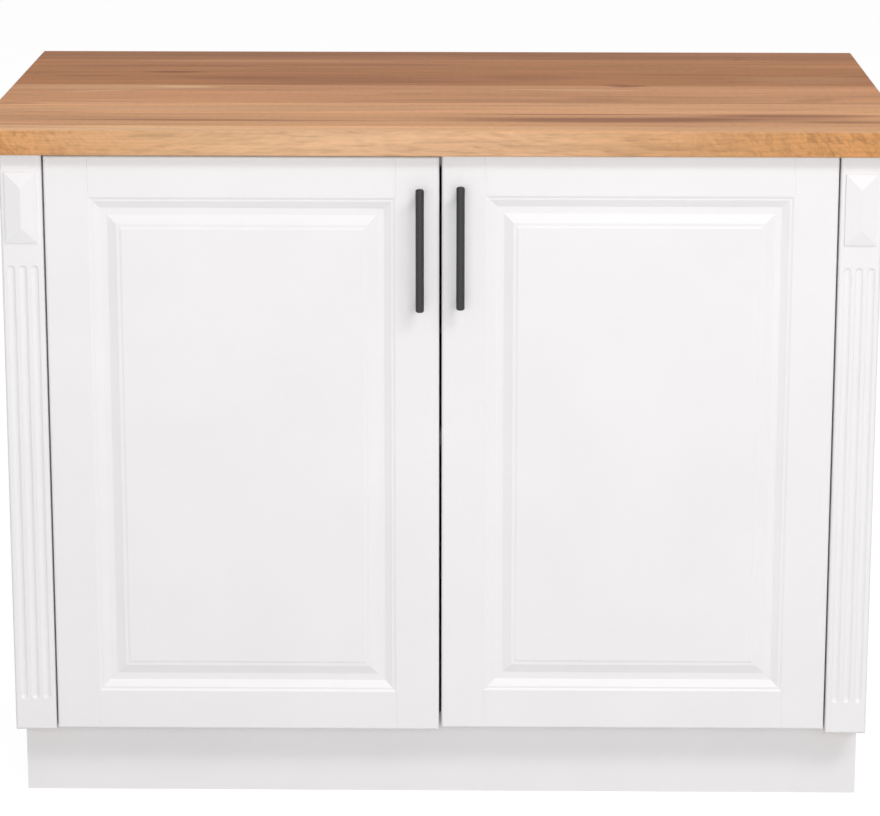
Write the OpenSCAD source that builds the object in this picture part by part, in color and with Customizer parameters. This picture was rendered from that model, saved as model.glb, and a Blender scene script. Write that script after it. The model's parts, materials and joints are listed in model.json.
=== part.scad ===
// Two-door kitchen base cabinet: oak worktop, raised-panel doors, fluted pilasters, recessed plinth.
// The origin is the middle of the footprint on the floor, +Z is up and the doors face -Y.

/* [Overall size] */
// Height from the floor to the top of the worktop
total_h = 850; // [820:5:920]
// Width across the two pilasters
front_w = 1044; // [940:2:1084]
// Depth of the carcass boards, front to back
carcass_d = 560; // [520:10:580]
// Thickness of the carcass boards
board_t = 18; // [16:1:18]

/* [Worktop] */
// Width of the worktop
worktop_w = 1100; // [1090:5:1200]
// Depth of the worktop
worktop_d = 650; // [630:5:700]
// Thickness of the worktop
worktop_t = 30; // [26:1:40]
// How far the worktop stands out in front of the doors
worktop_nose = 20; // [10:1:30]
// Radius on the worktop's edges
worktop_r = 2; // [1:0.5:5]

/* [Plinth and legs] */
// Height of the plinth
plinth_h = 100; // [90:5:120]
// Distance from the door fronts back to the plinth
plinth_recess = 60; // [50:5:70]
// Thickness of the plinth boards
plinth_t = 16; // [12:1:19]
// How far the plinth's ends stand in from the pilasters' sides
plinth_inset = 4; // [2:1:10]

/* [Doors] */
// Thickness of a door
door_t = 20; // [19:0.5:22]
// Height of a door
door_h = 714; // [690:1:714]
// Height of the left door's lower edge above the carcass's underside
door_lift = 2; // [1:0.5:3]
// How much higher the right door hangs than the left one
right_door_lift = 3; // [0:0.5:3]
// Gap between a door and its pilaster
side_gap = 2; // [2:0.5:4]
// Gap between the two doors
middle_gap = 3; // [2:0.5:4]
// Radius on the doors' front edges
door_r = 3; // [2:0.5:4]
// Width of the flat face of a stile
stile_w = 52; // [48:1:60]
// Width of the flat face of a rail
rail_w = 49; // [46:1:60]

/* [Pilasters] */
// Width of a pilaster
pilaster_w = 50; // [46:1:60]
// Depth of a flute
flute_d = 2; // [1.5:0.5:3.5]
// Width of a flute
flute_w = 9.5; // [6:0.5:10]
// Distance between the flutes' centre lines
flute_pitch = 14; // [12:0.1:14]

/* [Handles] */
// Length of a handle bar
handle_len = 148; // [138:2:200]
// Distance between the posts' centres
handle_pitch = 128; // [96:32:128]
// Diameter of the bar
handle_d = 10; // [8:1:12]
// How far the bar stands out from the door
handle_reach = 35; // [30:1:40]
// Distance from the cabinet's middle to the bar's centre line
handle_offset = 24; // [20:1:40]
// Distance from the door's top edge down to the bar's middle
handle_drop = 107; // [100:1:300]

/* [Hidden] */

$fn = 48;
over = 1; // how far a cutting shape runs past a face

// Depths are measured back from the door fronts, which lie at front_y.
front_y = (handle_reach - (worktop_d - worktop_nose)) / 2;
door_standoff = 2;
carcass_v = door_t + door_standoff;
carcass_back_v = carcass_v + carcass_d;
carcass_x = front_w / 2 - pilaster_w;
carcass_z = plinth_h;
carcass_top = total_h - worktop_t;
carcass_h = carcass_top - carcass_z;
inner_x = carcass_x - board_t;

// Back panel in its groove
back_t = 3;
groove_w = 3.2;
groove_d = 8;
groove_play = 0.5;
groove_inset = 16;
back_v = carcass_back_v - groove_inset - groove_w;

// Top rails and the screws that hold the worktop to them
top_rail_d = 100;
screw_x = [-360, 0, 360];
screw_inset = 60;
front_screw_v = carcass_v + screw_inset;
rear_screw_v = back_v - screw_inset;
screw_r = 2;
screw_head_r = 4.5;
screw_head_h = 3;
screw_reach = 20;

// Shelf, its pins and the rows of pin holes; the front row also carries the hinge plates
front_row = 37;
rear_row = 453;
shelf_setback = 24;
shelf_play = 1;
shelf_z = 452;
pin_r = 2.5;
pin_depth = 10;
pin_play = 1;
pin_drop = 4;
pin_pitch = 32;
pin_row_v = [carcass_v + front_row, carcass_v + rear_row];
pin_steps = [-3, -2, -1, 0, 1, 2, 3];

// End panels set off from the carcass by battens
batten_d = 60;
end_panel_x = front_w / 2 - board_t;

// Pilaster ornament, heights measured down from the carcass's top
block_top = 23;
block_h = 85;
block_w = 37.5;
block_step = 3;
block_rise = 4;
flute_top = 134;
flute_foot = 38;
pilaster_r = 3;

// Door moulding: distances run inwards from the edge of the flat face, depths back from the front
slope_w = 3;
slope_d = 1.2;
fillet_w = 5;
chamfer_w = 8.5;
lip_t = 0.4;
sunk_d = 5.2;
moulding_w = fillet_w + chamfer_w;
margin_w = 8.5;
bevel_w = 11;
ledge_d = 1.2;
ledge_w = 3.5;
step_w = 2.5;
field_d = 0.4;
tongue_w = 10;
tongue_t = 7;
tongue_play = 1;
panel_back_d = 17.5;
panel_back_play = 1.5;
mitre_w = moulding_w + 4;
joint_v = 0.5;

door_w = carcass_x - side_gap - middle_gap / 2;
door_z = carcass_z + door_lift;
open_w = door_w - 2 * stile_w;
open_h = door_h - 2 * rail_w;

// Handles
handle_u = door_w + middle_gap / 2 - handle_offset;
handle_z = door_h - handle_drop;
bar_ease = 2.5;
post_d = 8;
handle_screw_r = 2;

// Concealed hinges: distances in from the door's hinge edge and back from its front
hinge_end = 100;
hinge_z = [hinge_end, door_h - hinge_end];
cup_u = 22.5;
cup_r = 17.5;
cup_play = 0.05;
cup_depth = 12;
cup_wall = 1;
flange_t = 1;
flange_h = 62;
flange_w = 30;
axis_u = 2;
axis_v = 2;
link_r = 34;
link_half_w = 2.25;
link_start = 14;
link_end = 64.5;
tongue_start = 11.8;
tongue_z = [-1.5, 1.5];
link_z = [[-3.3, -1.8], [1.8, 3.3]];
cheek_z = [[-5.4, -3.6], [3.6, 5.4]];
plate_u = carcass_x - inner_x - side_gap;
plate_v = carcass_v + front_row;
arm_low_u = plate_u + 3;
arm_top_u = plate_u + 13;
arm_back_v = plate_v + 28;
web_v = 36;
web_t = 2;

// Levelling legs
leg_x = 400;
leg_clearance = 46;
rear_leg_inset = 80;
front_leg_v = plinth_recess + plinth_t + leg_clearance;
rear_leg_v = carcass_back_v - rear_leg_inset;
socket_flange_r = 35;
socket_flange_t = 4;
socket_r = 17;
socket_bore_r = 13.5;
socket_low_z = 38;
stem_play = 0.05;
foot_r = 28;
foot_h = 12;
foot_rim_h = 5;
foot_neck = 4;
stem_top = 84;

module on_right(right) {
    if (right) {
        children();
    } else {
        mirror([1, 0, 0]) children();
    }
}

// A rectangle whose two corners at y = 0 are rounded
module round_nosed(w, t, r) {
    translate([r, 0]) square([w - 2 * r, t]);
    translate([0, r]) square([w, t - r]);
    for (x = [r, w - r]) {
        translate([x, r]) circle(r);
    }
}

// Runs a section drawn across the width up through the height h
module upright(h) {
    linear_extrude(h) children();
}

// Runs a section drawn down the height h across the width w
module level(w, h) {
    translate([0, 0, h]) rotate([0, 90, 0]) linear_extrude(w) children();
}

// A slab with its front edges rounded on all four sides
module soft_slab(w, t, h, r) {
    intersection() {
        upright(h) round_nosed(w, t, r);
        level(w, h) round_nosed(h, t, r);
    }
}

// Worktop

module worktop() {
    color("burlywood") difference() {
        translate([-worktop_w / 2, front_y - worktop_nose, carcass_top]) intersection() {
            translate([0, worktop_d, 0]) rotate([90, 0, 0]) linear_extrude(worktop_d)
                round_cornered(worktop_w, worktop_t, worktop_r);
            level(worktop_w, worktop_t) round_cornered(worktop_t, worktop_d, worktop_r);
        }
        at_worktop_screws() translate([0, 0, -over]) cylinder(r = screw_r, h = screw_reach + 2 * over);
    }
}

// A rectangle with four rounded corners
module round_cornered(w, h, r) {
    translate([r, 0]) square([w - 2 * r, h]);
    translate([0, r]) square([w, h - 2 * r]);
    for (x = [r, w - r], y = [r, h - r]) {
        translate([x, y]) circle(r);
    }
}

module at_worktop_screws() {
    for (x = screw_x, v = [front_screw_v, rear_screw_v]) {
        translate([x, front_y + v, carcass_top]) children();
    }
}

module worktop_screws() {
    color("silver") at_worktop_screws() {
        translate([0, 0, -board_t]) cylinder(r = screw_r, h = board_t + screw_reach);
        translate([0, 0, -board_t - screw_head_h]) cylinder(r = screw_head_r, h = screw_head_h);
    }
}

// Carcass

module side_panel(right) {
    color("white") on_right(right) difference() {
        translate([inner_x, front_y + carcass_v, carcass_z]) cube([board_t, carcass_d, carcass_h]);
        translate([inner_x - over, front_y + back_v, carcass_z - over])
            cube([groove_d + over, groove_w, carcass_h + 2 * over]);
        for (v = pin_row_v, step = pin_steps) {
            translate([inner_x - over, front_y + v, shelf_z - pin_drop + step * pin_pitch])
                rotate([0, 90, 0]) cylinder(r = pin_r, h = pin_depth + over);
        }
    }
}

module bottom_panel() {
    color("white") difference() {
        translate([-inner_x, front_y + carcass_v, carcass_z]) cube([2 * inner_x, carcass_d, board_t]);
        translate([-inner_x - over, front_y + back_v, carcass_z + board_t - groove_d])
            cube([2 * (inner_x + over), groove_w, groove_d + over]);
    }
}

module top_rail(v, screw_v) {
    color("white") difference() {
        translate([-inner_x, front_y + v, carcass_top - board_t]) cube([2 * inner_x, top_rail_d, board_t]);
        for (x = screw_x) {
            translate([x, front_y + screw_v, carcass_top - board_t - over])
                cylinder(r = screw_r, h = board_t + 2 * over);
        }
    }
}

module back_panel() {
    reach = groove_d - groove_play;
    color("gainsboro") translate([-inner_x - reach, front_y + back_v, carcass_z + board_t - reach])
        cube([2 * (inner_x + reach), back_t, carcass_h - board_t + reach]);
}

module shelf() {
    color("white") translate([-inner_x + shelf_play, front_y + carcass_v + shelf_setback, shelf_z])
        cube([2 * (inner_x - shelf_play), back_v - carcass_v - shelf_setback - shelf_play, board_t]);
}

// A pin with a collar against the side panel and a flat spade under the shelf
module shelf_pins() {
    collar_r = 3.9;
    collar_t = 1.5;
    spade_w = 8;
    spade_t = 3;
    spade_reach = 10;
    end_x = spade_w / 2 - spade_reach;
    color("silver") for (right = [false, true], v = pin_row_v) {
        on_right(right) translate([inner_x, front_y + v, shelf_z - pin_drop]) {
            rotate([0, 90, 0]) cylinder(r = pin_r, h = pin_depth - pin_play);
            translate([-collar_t, 0, 0]) rotate([0, 90, 0]) cylinder(r = collar_r, h = collar_t);
            translate([0, 0, pin_drop - spade_t]) linear_extrude(spade_t) {
                translate([end_x, -spade_w / 2]) square([-end_x, spade_w]);
                translate([end_x, 0]) circle(spade_w / 2);
            }
        }
    }
}

module end_panel(right) {
    color("white") on_right(right) translate([end_panel_x, front_y + door_t, carcass_z])
        cube([board_t, carcass_back_v - door_t, carcass_h]);
}

module filler_battens(right) {
    color("wheat") on_right(right) for (v = [door_t, carcass_back_v - batten_d]) {
        translate([carcass_x, front_y + v, carcass_z]) cube([end_panel_x - carcass_x, batten_d, carcass_h]);
    }
}

// Pilasters

// A block with a flat foot and four sloping faces that meet in an upright ridge
module pointed_block() {
    rise_v = -block_step - block_rise;
    intersection() {
        translate([-block_w / 2, 0, 0]) upright(block_h)
            polygon([[0, 0], [0, -block_step], [block_w / 2, rise_v], [block_w, -block_step], [block_w, 0]]);
        translate([-block_w / 2, 0, 0]) level(block_w, block_h)
            polygon([
                [0, 0], [0, -block_step], [block_w / 2, rise_v],
                [block_h - block_w / 2, rise_v], [block_h, -block_step], [block_h, 0]
            ]);
    }
}

// A round-bottomed groove with ball ends
module flute(length) {
    r = (pow(flute_w / 2, 2) + pow(flute_d, 2)) / (2 * flute_d);
    translate([0, flute_d - r, r]) {
        cylinder(r = r, h = length - 2 * r);
        sphere(r);
        translate([0, 0, length - 2 * r]) sphere(r);
    }
}

module pilaster(right) {
    color("white") on_right(right) translate([carcass_x + pilaster_w / 2, front_y, carcass_z]) {
        difference() {
            translate([-pilaster_w / 2, 0, 0]) soft_slab(pilaster_w, door_t, carcass_h, pilaster_r);
            for (step = [-1, 0, 1]) {
                translate([step * flute_pitch, 0, flute_foot]) flute(carcass_h - flute_top - flute_foot);
            }
        }
        translate([0, 0, carcass_h - block_top - block_h]) pointed_block();
    }
}

// Plinth and legs

module front_plinth() {
    half_w = front_w / 2 - plinth_inset;
    color("white") translate([-half_w, front_y + plinth_recess, 0]) cube([2 * half_w, plinth_t, plinth_h]);
}

module plinth_return(right) {
    start_v = plinth_recess + plinth_t;
    color("white") on_right(right)
        translate([front_w / 2 - plinth_inset - plinth_t, front_y + start_v, 0])
            cube([plinth_t, carcass_back_v - start_v, plinth_h]);
}

module at_leg(right, v) {
    translate([right ? leg_x : -leg_x, front_y + v, 0]) children();
}

// An open ring that snaps round a leg, on a plate behind the plinth
module plinth_clips() {
    clip_z = 50;
    clip_h = 16;
    ring_t = 3;
    mouth_w = 1.6 * socket_r;
    plate_w = 44;
    plate_t = 3;
    color("dimgray") for (right = [false, true]) {
        at_leg(right, front_leg_v) translate([0, 0, clip_z]) {
            difference() {
                union() {
                    cylinder(r = socket_r + ring_t, h = clip_h);
                    translate([-plate_t, -leg_clearance, 0])
                        cube([2 * plate_t, leg_clearance - socket_r, clip_h]);
                }
                translate([0, 0, -over]) cylinder(r = socket_r, h = clip_h + 2 * over);
                translate([-mouth_w / 2, 0, -over]) cube([mouth_w, 2 * socket_r, clip_h + 2 * over]);
            }
            translate([-plate_w / 2, -leg_clearance, -clip_h / 2]) cube([plate_w, plate_t, 2 * clip_h]);
        }
    }
}

module leg_socket(right, v) {
    rib_t = 3;
    rib_h = 12;
    rib_l = 1.6 * socket_flange_r;
    tube_h = plinth_h - socket_low_z;
    color("dimgray") at_leg(right, v) difference() {
        union() {
            translate([0, 0, socket_low_z]) cylinder(r = socket_r, h = tube_h);
            translate([0, 0, plinth_h - socket_flange_t]) cylinder(r = socket_flange_r, h = socket_flange_t);
            for (turn = [0, 90]) {
                rotate(turn + 45) translate([-rib_l / 2, -rib_t / 2, plinth_h - rib_h])
                    cube([rib_l, rib_t, rib_h]);
            }
        }
        translate([0, 0, socket_low_z - over])
            cylinder(r = socket_bore_r, h = tube_h - socket_flange_t + over);
    }
}

module foot(right, v) {
    stem_r = socket_bore_r - stem_play;
    chamfer = 1;
    grip_r = 3;
    grip_inset = 2;
    color("dimgray") at_leg(right, v) difference() {
        rotate_extrude() polygon([
            [0, 0], [foot_r - chamfer, 0], [foot_r, chamfer], [foot_r, foot_rim_h],
            [stem_r + foot_neck, foot_h], [stem_r, foot_h], [stem_r, stem_top - chamfer],
            [stem_r - chamfer, stem_top], [0, stem_top]
        ]);
        for (turn = [0 : 45 : 315]) {
            rotate(turn) translate([foot_r + grip_r - grip_inset, 0, -over])
                cylinder(r = grip_r, h = foot_h, $fn = 24);
        }
    }
}

// Doors, drawn from the hinge edge inwards and placed on either side

module on_door(right) {
    edge_x = carcass_x - side_gap;
    if (right) {
        translate([edge_x, front_y, door_z + right_door_lift]) mirror([1, 0, 0]) children();
    } else {
        translate([-edge_x, front_y, door_z]) children();
    }
}

// Section of the opening cut by the frame's moulding, w wide between the flat faces
module opening_section(w) {
    edge_d = sunk_d - lip_t;
    polygon([
        [0, -over], [0, 0], [slope_w, slope_d], [fillet_w, slope_d], [moulding_w, edge_d],
        [moulding_w, door_t + over], [w - moulding_w, door_t + over], [w - moulding_w, edge_d],
        [w - fillet_w, slope_d], [w - slope_w, slope_d], [w, 0], [w, -over]
    ]);
}

// The whole frame in one, before it is parted into stiles and rails
module door_frame() {
    groove_edge = moulding_w - tongue_w;
    difference() {
        soft_slab(door_w, door_t, door_h, door_r);
        translate([stile_w, 0, rail_w]) intersection() {
            upright(open_h) opening_section(open_w);
            level(open_w, open_h) opening_section(open_h);
        }
        translate([stile_w + groove_edge, sunk_d, rail_w + groove_edge])
            cube([open_w - 2 * groove_edge, tongue_t, open_h - 2 * groove_edge]);
        for (u = [stile_w, door_w - stile_w], z = [-over, door_h - rail_w]) {
            translate([u, 0, z]) upright(rail_w + over) rotate(45) square(joint_v * sqrt(2), center = true);
        }
    }
}

// Keeps the part of the frame inside an outline drawn on the door's face
module part_of_frame(outline) {
    intersection() {
        door_frame();
        translate([0, door_t + over, 0]) rotate([90, 0, 0]) linear_extrude(door_t + 2 * over) polygon(outline);
    }
}

// Outline of a stile, mitred where the mouldings meet
function stile_outline(edge, dir) =
    let (face = edge + dir * stile_w, tip = edge + dir * (stile_w + mitre_w))
    [
        [edge - dir * over, -over], [face, -over], [face, rail_w], [tip, rail_w + mitre_w],
        [tip, door_h - rail_w - mitre_w], [face, door_h - rail_w], [face, door_h + over],
        [edge - dir * over, door_h + over]
    ];

// Outline of a rail, mitred where the mouldings meet
function rail_outline(edge, dir) =
    let (face = edge + dir * rail_w, tip = edge + dir * (rail_w + mitre_w))
    [
        [stile_w, edge - dir * over], [stile_w, face], [stile_w + mitre_w, tip],
        [door_w - stile_w - mitre_w, tip], [door_w - stile_w, face], [door_w - stile_w, edge - dir * over]
    ];

module hinge_stile(right) {
    color("white") on_door(right) difference() {
        part_of_frame(stile_outline(0, 1));
        for (z = hinge_z) {
            translate([cup_u, door_t - cup_depth, z]) rotate([-90, 0, 0])
                cylinder(r = cup_r, h = cup_depth + over, $fn = 72);
        }
    }
}

module meeting_stile(right) {
    color("white") on_door(right) difference() {
        part_of_frame(stile_outline(door_w, -1));
        for (step = [-0.5, 0.5]) {
            translate([handle_u, -over, handle_z + step * handle_pitch]) rotate([-90, 0, 0])
                cylinder(r = handle_screw_r, h = door_t + 2 * over);
        }
    }
}

module door_top_rail(right) {
    color("white") on_door(right) part_of_frame(rail_outline(door_h, -1));
}

module door_bottom_rail(right) {
    color("white") on_door(right) part_of_frame(rail_outline(0, 1));
}

// Section of the raised part of a panel, w wide between the frame's flat faces
module raised_section(w) {
    foot = moulding_w + margin_w;
    ledge = foot + bevel_w;
    step = ledge + ledge_w;
    field = step + step_w;
    polygon([
        [foot, sunk_d], [ledge, ledge_d], [step, ledge_d], [field, field_d],
        [w - field, field_d], [w - step, ledge_d], [w - ledge, ledge_d], [w - foot, sunk_d]
    ]);
}

module door_panel(right) {
    tongue_edge = moulding_w - tongue_w + tongue_play;
    back_edge = moulding_w + panel_back_play;
    body_t = panel_back_d - sunk_d;
    color("white") on_door(right) translate([stile_w, 0, rail_w]) {
        intersection() {
            upright(open_h) raised_section(open_w);
            level(open_w, open_h) raised_section(open_h);
        }
        translate([tongue_edge, sunk_d, tongue_edge])
            cube([open_w - 2 * tongue_edge, tongue_t, open_h - 2 * tongue_edge]);
        translate([back_edge, sunk_d, back_edge])
            cube([open_w - 2 * back_edge, body_t, open_h - 2 * back_edge]);
    }
}

module door_bumpers(right) {
    bumper_r = 4;
    bumper_t = 1.7;
    bumper_taper = 0.8;
    inset = [12, 8];
    color("gainsboro") on_door(right) for (z = [inset[1], door_h - inset[1]]) {
        translate([door_w - inset[0], door_t, z]) rotate([-90, 0, 0]) rotate_extrude()
            polygon([[0, 0], [bumper_r, 0], [bumper_r - bumper_taper, bumper_t], [0, bumper_t]]);
    }
}

// Handles

module at_handle(right) {
    on_door(right) translate([handle_u, 0, handle_z]) children();
}

module handle_bar(right) {
    r = handle_d / 2;
    color("#2b292a") at_handle(right) translate([0, r - handle_reach, -handle_len / 2]) difference() {
        rotate_extrude() {
            translate([0, bar_ease]) square([r, handle_len - 2 * bar_ease]);
            square([r - bar_ease, handle_len]);
            for (z = [bar_ease, handle_len - bar_ease]) {
                translate([r - bar_ease, z]) circle(bar_ease);
            }
        }
        for (step = [-0.5, 0.5]) {
            translate([0, 0, handle_len / 2 + step * handle_pitch]) rotate([-90, 0, 0])
                cylinder(r = post_d / 2, h = r + over);
        }
    }
}

module handle_posts(right) {
    post_l = handle_reach - handle_d / 2;
    screw_hole = 14;
    color("#2b292a") at_handle(right) for (step = [-0.5, 0.5]) {
        translate([0, -post_l, step * handle_pitch]) rotate([-90, 0, 0]) difference() {
            cylinder(r = post_d / 2, h = post_l);
            translate([0, 0, post_l - screw_hole]) cylinder(r = handle_screw_r, h = screw_hole + over);
        }
    }
}

module handle_screws(right) {
    head_r = 4;
    head_h = 2.4;
    grip = 12;
    color("silver") at_handle(right) for (step = [-0.5, 0.5]) {
        translate([0, -grip, step * handle_pitch]) rotate([-90, 0, 0]) {
            cylinder(r = handle_screw_r, h = grip + door_t);
            translate([0, 0, grip + door_t]) cylinder(r = head_r, h = head_h);
        }
    }
}

// Concealed hinges: curved links nest beside each other round the door's axis

module at_hinges(right) {
    on_door(right) for (z = hinge_z) {
        translate([0, 0, z]) children();
    }
}

// A curved strip with round ends, centred on the door's axis
module curved_strip(from, to) {
    far = 2 * link_r;
    end_turn = asin(link_half_w / link_r);
    middle = (from + to) / 2;
    translate([axis_u, axis_v]) {
        intersection() {
            difference() {
                circle(link_r + link_half_w, $fn = 96);
                circle(link_r - link_half_w, $fn = 96);
            }
            polygon([
                [0, 0], far * [cos(from + end_turn), sin(from + end_turn)],
                far * [cos(middle), sin(middle)], far * [cos(to - end_turn), sin(to - end_turn)]
            ]);
        }
        for (turn = [from + end_turn, to - end_turn]) {
            rotate(turn) translate([link_r, 0]) circle(link_half_w);
        }
    }
}

module between(z) {
    translate([0, 0, z[0]]) linear_extrude(z[1] - z[0]) children();
}

module hinge_cup(right, z) {
    floor_v = door_t - cup_depth;
    color("silver") on_door(right) translate([0, 0, z]) {
        translate([cup_u, 0, 0]) difference() {
            union() {
                translate([0, floor_v, 0]) rotate([-90, 0, 0])
                    cylinder(r = cup_r - cup_play, h = cup_depth, $fn = 72);
                translate([-flange_w / 2, door_t, -flange_h / 2]) cube([flange_w, flange_t, flange_h]);
            }
            translate([0, floor_v + cup_wall, 0]) rotate([-90, 0, 0])
                cylinder(r = cup_r - cup_wall, h = cup_depth + flange_t + over, $fn = 72);
        }
        between(tongue_z) curved_strip(tongue_start, link_end);
    }
}

module hinge_links(right) {
    color("gray") at_hinges(right) for (z = link_z) {
        between(z) curved_strip(link_start, link_end);
    }
}

// A channel over the mounting plate whose cheeks curve forward into the cup
module hinge_arm(right, z) {
    neck = [[0, 4], [3, 10]];
    screw_v = [plate_v - 8, plate_v + 14];
    screw_head_r = 3;
    screw_head_h = 1;
    color("silver") on_door(right) translate([0, 0, z]) {
        for (cheek = cheek_z) {
            between(cheek) {
                curved_strip(link_start, link_end);
                polygon([
                    [arm_low_u, web_v] - neck[0], [arm_top_u, web_v] - neck[1], [arm_top_u, web_v],
                    [arm_top_u, arm_back_v], [arm_low_u, arm_back_v]
                ]);
            }
        }
        translate([arm_top_u - web_t, web_v, cheek_z[0][0]])
            cube([web_t, arm_back_v - web_v, cheek_z[1][1] - cheek_z[0][0]]);
        for (v = screw_v) {
            translate([arm_top_u, v, 0]) rotate([0, 90, 0]) cylinder(r = screw_head_r, h = screw_head_h);
        }
    }
}

module hinge_plates(right) {
    wing_t = 2.5;
    wing_w = 28;
    wing_h = 50;
    saddle_play = 0.3;
    saddle = [arm_top_u - web_t - plate_u, 40, cheek_z[1][0] - cheek_z[0][1] - 2 * saddle_play];
    color("silver") at_hinges(right) translate([plate_u, plate_v, 0]) {
        translate([0, -wing_w / 2, -wing_h / 2]) cube([wing_t, wing_w, wing_h]);
        translate([0, -saddle[1] / 2, -saddle[2] / 2]) cube(saddle);
    }
}

worktop();
worktop_screws();
side_panel(false);  // left_side_panel
side_panel(true);  // right_side_panel
bottom_panel();
top_rail(carcass_v, front_screw_v);  // front_top_rail
top_rail(back_v - top_rail_d, rear_screw_v);  // rear_top_rail
back_panel();
shelf();
shelf_pins();
end_panel(false);  // left_end_panel
end_panel(true);  // right_end_panel
filler_battens(false);  // left_filler_battens
filler_battens(true);  // right_filler_battens
pilaster(false);  // left_pilaster
pilaster(true);  // right_pilaster
front_plinth();
plinth_return(false);  // left_plinth_return
plinth_return(true);  // right_plinth_return
plinth_clips();
leg_socket(false, front_leg_v);  // front_left_leg_socket
leg_socket(true, front_leg_v);  // front_right_leg_socket
leg_socket(false, rear_leg_v);  // rear_left_leg_socket
leg_socket(true, rear_leg_v);  // rear_right_leg_socket
foot(false, front_leg_v);  // front_left_foot
foot(true, front_leg_v);  // front_right_foot
foot(false, rear_leg_v);  // rear_left_foot
foot(true, rear_leg_v);  // rear_right_foot
hinge_plates(false);  // left_hinge_plates
hinge_plates(true);  // right_hinge_plates
hinge_arm(false, hinge_z[1]);  // left_upper_hinge_arm
hinge_arm(false, hinge_z[0]);  // left_lower_hinge_arm
hinge_arm(true, hinge_z[1]);  // right_upper_hinge_arm
hinge_arm(true, hinge_z[0]);  // right_lower_hinge_arm
hinge_links(false);  // left_hinge_links
hinge_links(true);  // right_hinge_links
hinge_stile(false);  // left_door_hinge_stile
meeting_stile(false);  // left_door_meeting_stile
door_top_rail(false);  // left_door_top_rail
door_bottom_rail(false);  // left_door_bottom_rail
door_panel(false);  // left_door_panel
hinge_cup(false, hinge_z[1]);  // left_door_upper_cup
hinge_cup(false, hinge_z[0]);  // left_door_lower_cup
door_bumpers(false);  // left_door_bumpers
handle_bar(false);  // left_handle_bar
handle_posts(false);  // left_handle_posts
handle_screws(false);  // left_handle_screws
hinge_stile(true);  // right_door_hinge_stile
meeting_stile(true);  // right_door_meeting_stile
door_top_rail(true);  // right_door_top_rail
door_bottom_rail(true);  // right_door_bottom_rail
door_panel(true);  // right_door_panel
hinge_cup(true, hinge_z[1]);  // right_door_upper_cup
hinge_cup(true, hinge_z[0]);  // right_door_lower_cup
door_bumpers(true);  // right_door_bumpers
handle_bar(true);  // right_handle_bar
handle_posts(true);  // right_handle_posts
handle_screws(true);  // right_handle_screws
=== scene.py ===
# Kitchen base cabinet: oak worktop, white raised-panel doors, fluted pilasters, black bar handles.
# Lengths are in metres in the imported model's frame: +Z is up and the doors face -Y.
import json
import math
import bmesh
import bpy
from mathutils import Matrix, Vector


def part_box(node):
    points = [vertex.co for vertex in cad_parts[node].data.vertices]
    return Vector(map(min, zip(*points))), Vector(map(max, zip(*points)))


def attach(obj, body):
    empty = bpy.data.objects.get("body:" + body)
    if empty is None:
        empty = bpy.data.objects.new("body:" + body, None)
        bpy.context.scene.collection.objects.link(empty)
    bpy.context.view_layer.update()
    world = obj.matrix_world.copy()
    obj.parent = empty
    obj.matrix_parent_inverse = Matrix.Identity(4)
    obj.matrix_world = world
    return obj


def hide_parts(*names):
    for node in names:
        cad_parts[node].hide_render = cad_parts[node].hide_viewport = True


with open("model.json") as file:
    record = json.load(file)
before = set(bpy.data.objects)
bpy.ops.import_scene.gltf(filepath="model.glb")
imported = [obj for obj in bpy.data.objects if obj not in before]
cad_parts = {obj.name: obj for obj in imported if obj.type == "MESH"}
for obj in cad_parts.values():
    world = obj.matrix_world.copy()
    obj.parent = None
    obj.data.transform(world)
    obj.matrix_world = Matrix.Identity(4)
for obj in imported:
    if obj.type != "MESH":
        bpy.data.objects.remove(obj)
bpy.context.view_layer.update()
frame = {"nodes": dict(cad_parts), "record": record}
print("frame loaded with", len(frame["nodes"]), "nodes")


# Camera

cameraView = {
    "place": (0.0502, -4.0957, 1.4897),
    "turn": 0.772,  # degrees to the left
    "tilt": 13.525,  # degrees down
    "roll": -0.034,
    "focalPixels": 3268,  # focal length in pixels of the 880 by 816 picture
    "pictureWidth": 880,
    "sensorWidth": 36,
    "shiftY": -0.06,
    "clipEnd": 60,
}


def makeCamera(view):
    bpy.ops.object.camera_add(location=view["place"])
    camera = bpy.context.object
    camera.name = "camera"
    camera.rotation_mode = "XYZ"
    angles = (90 - view["tilt"], view["roll"], view["turn"])
    camera.rotation_euler = [math.radians(angle) for angle in angles]
    camera.data.sensor_width = view["sensorWidth"]
    camera.data.lens = view["focalPixels"] / view["pictureWidth"] * view["sensorWidth"]
    camera.data.shift_y = view["shiftY"]
    camera.data.clip_end = view["clipEnd"]
    bpy.context.scene.camera = camera


makeCamera(cameraView)
print("camera placed")


# Helpers for materials. A term is a value, or the socket that gives it.

def asColour(tone):
    # a hex text as seen on screen, or a grey level
    if not isinstance(tone, str):
        return [tone, tone, tone, 1.0]
    channels = [int(tone[i:i + 2], 16) / 255 for i in (1, 3, 5)]
    return [c / 12.92 if c <= 0.04045 else ((c + 0.055) / 1.055) ** 2.4 for c in channels] + [1.0]


def addNode(tree, kind, settings=None):
    # the settings are properties and input terms, the inputs by name or number
    node = tree.nodes.new(kind)
    for name, value in (settings or {}).items():
        if isinstance(value, bpy.types.NodeSocket):
            tree.links.new(value, node.inputs[name])
        elif isinstance(name, int) or name in node.inputs:
            node.inputs[name].default_value = value
        else:
            setattr(node, name, value)
    return node


def newMaterial(name, settings):
    material = bpy.data.materials.new(name)
    material.use_nodes = True
    tree = material.node_tree
    shader = tree.nodes["Principled BSDF"]
    for socket, value in settings.items():
        shader.inputs[socket].default_value = value
    return material, tree, shader


def feed(tree, shader, sockets):
    for name, socket in sockets.items():
        tree.links.new(socket, shader.inputs[name])


def placeOf(tree):
    return addNode(tree, "ShaderNodeTexCoord").outputs["Object"]


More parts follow.
